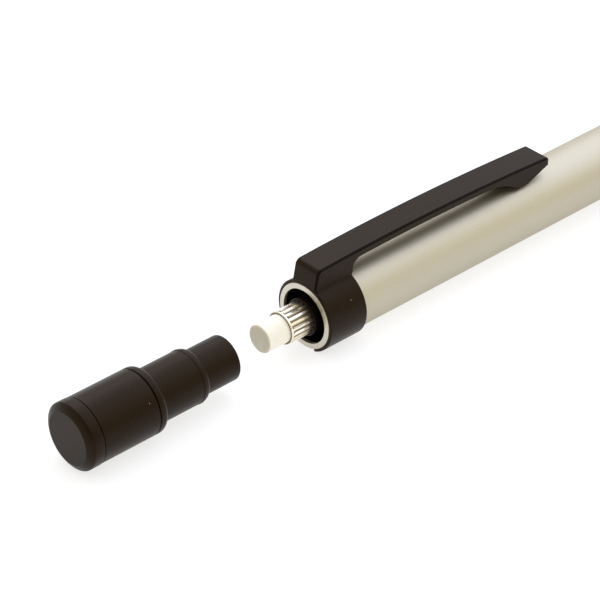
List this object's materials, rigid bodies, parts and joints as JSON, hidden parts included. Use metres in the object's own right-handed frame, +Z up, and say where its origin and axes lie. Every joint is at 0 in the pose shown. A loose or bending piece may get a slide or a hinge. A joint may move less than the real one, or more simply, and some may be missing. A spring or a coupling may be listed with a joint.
{
  "type": "drafting pencil",
  "caption": "Push-button drafting pencil with a satin tube barrel, sprung clip on a split ring, knurled grip, cone and lead sleeve; its cap lies drawn off behind the bared eraser.",
  "frame": {"origin": "centre of the open end of the lead sleeve, on the pencil's axis", "axes": "+X along the pencil out of the writing end, +Z up towards the clip, Y across; the pencil is symmetrical about the XZ plane"},
  "size_m": [0.1672, 0.011, 0.0138],
  "materials": {
    "black_plastic": "matt moulded black plastic, slightly warm",
    "barrel_aluminium": "satin, pale champagne silver, finely blasted",
    "grip_metal": "satin, diamond knurled",
    "cone_metal": "fine turned satin",
    "steel": "bright drawn",
    "bright_nickel": "bright nickel plate",
    "brass": "turned",
    "soft_rubber": "soft matt rubber",
    "eraser_vinyl": "smooth white vinyl, worn edge",
    "graphite": "dark grey, slight sheen"
  },
  "bodies": {
    "holder": {"barrel": "barrel_aluminium", "barrel_liner": "black_plastic", "clip": "black_plastic", "trim_ring": "black_plastic", "front_coupling": "black_plastic", "grip": "grip_metal", "nose_cone": "cone_metal", "lead_sleeve": "steel", "lead_retainer": "soft_rubber", "chuck_housing": "brass", "return_spring": "steel"},
    "push_mechanism": {"reservoir": "black_plastic", "reservoir_coupler": "black_plastic", "chuck": "brass", "spare_leads": "graphite"},
    "closing_ring": {"chuck_ring": "brass"},
    "eraser_unit": {"ferrule": "bright_nickel", "eraser": "eraser_vinyl"},
    "cap": {"cap_stem": "black_plastic", "cap_shell": "black_plastic", "cap_end_plug": "black_plastic"},
    "lead_in_use": {"lead": "graphite"}
  },
  "joints": [
    {"name": "push_button", "type": "slide", "parent": "holder", "child": "push_mechanism", "axis": [1, 0, 0], "range_m": [0, 0.0045], "stiffness_N_per_m": 300, "springref_m": -0.003, "deforming": ["return_spring"]},
    {"name": "closing_ring_slide", "type": "slide", "parent": "holder", "child": "closing_ring", "axis": [1, 0, 0], "range_m": [0, 0.001]},
    {"name": "eraser_pull", "type": "slide", "parent": "push_mechanism", "child": "eraser_unit", "axis": [-1, 0, 0], "range_m": [0, 0.008]},
    {"name": "cap_fit", "type": "slide", "parent": "push_mechanism", "child": "cap", "axis": [1, 0, 0], "range_m": [0, 0.022]},
    {"name": "lead_feed", "type": "slide", "parent": "holder", "child": "lead_in_use", "axis": [1, 0, 0], "range_m": [-0.0006, 0.005]}
  ],
  "couplings": [
    {"joint": "closing_ring_slide", "follows": "push_button", "ratio": 0.2222}
  ]
}
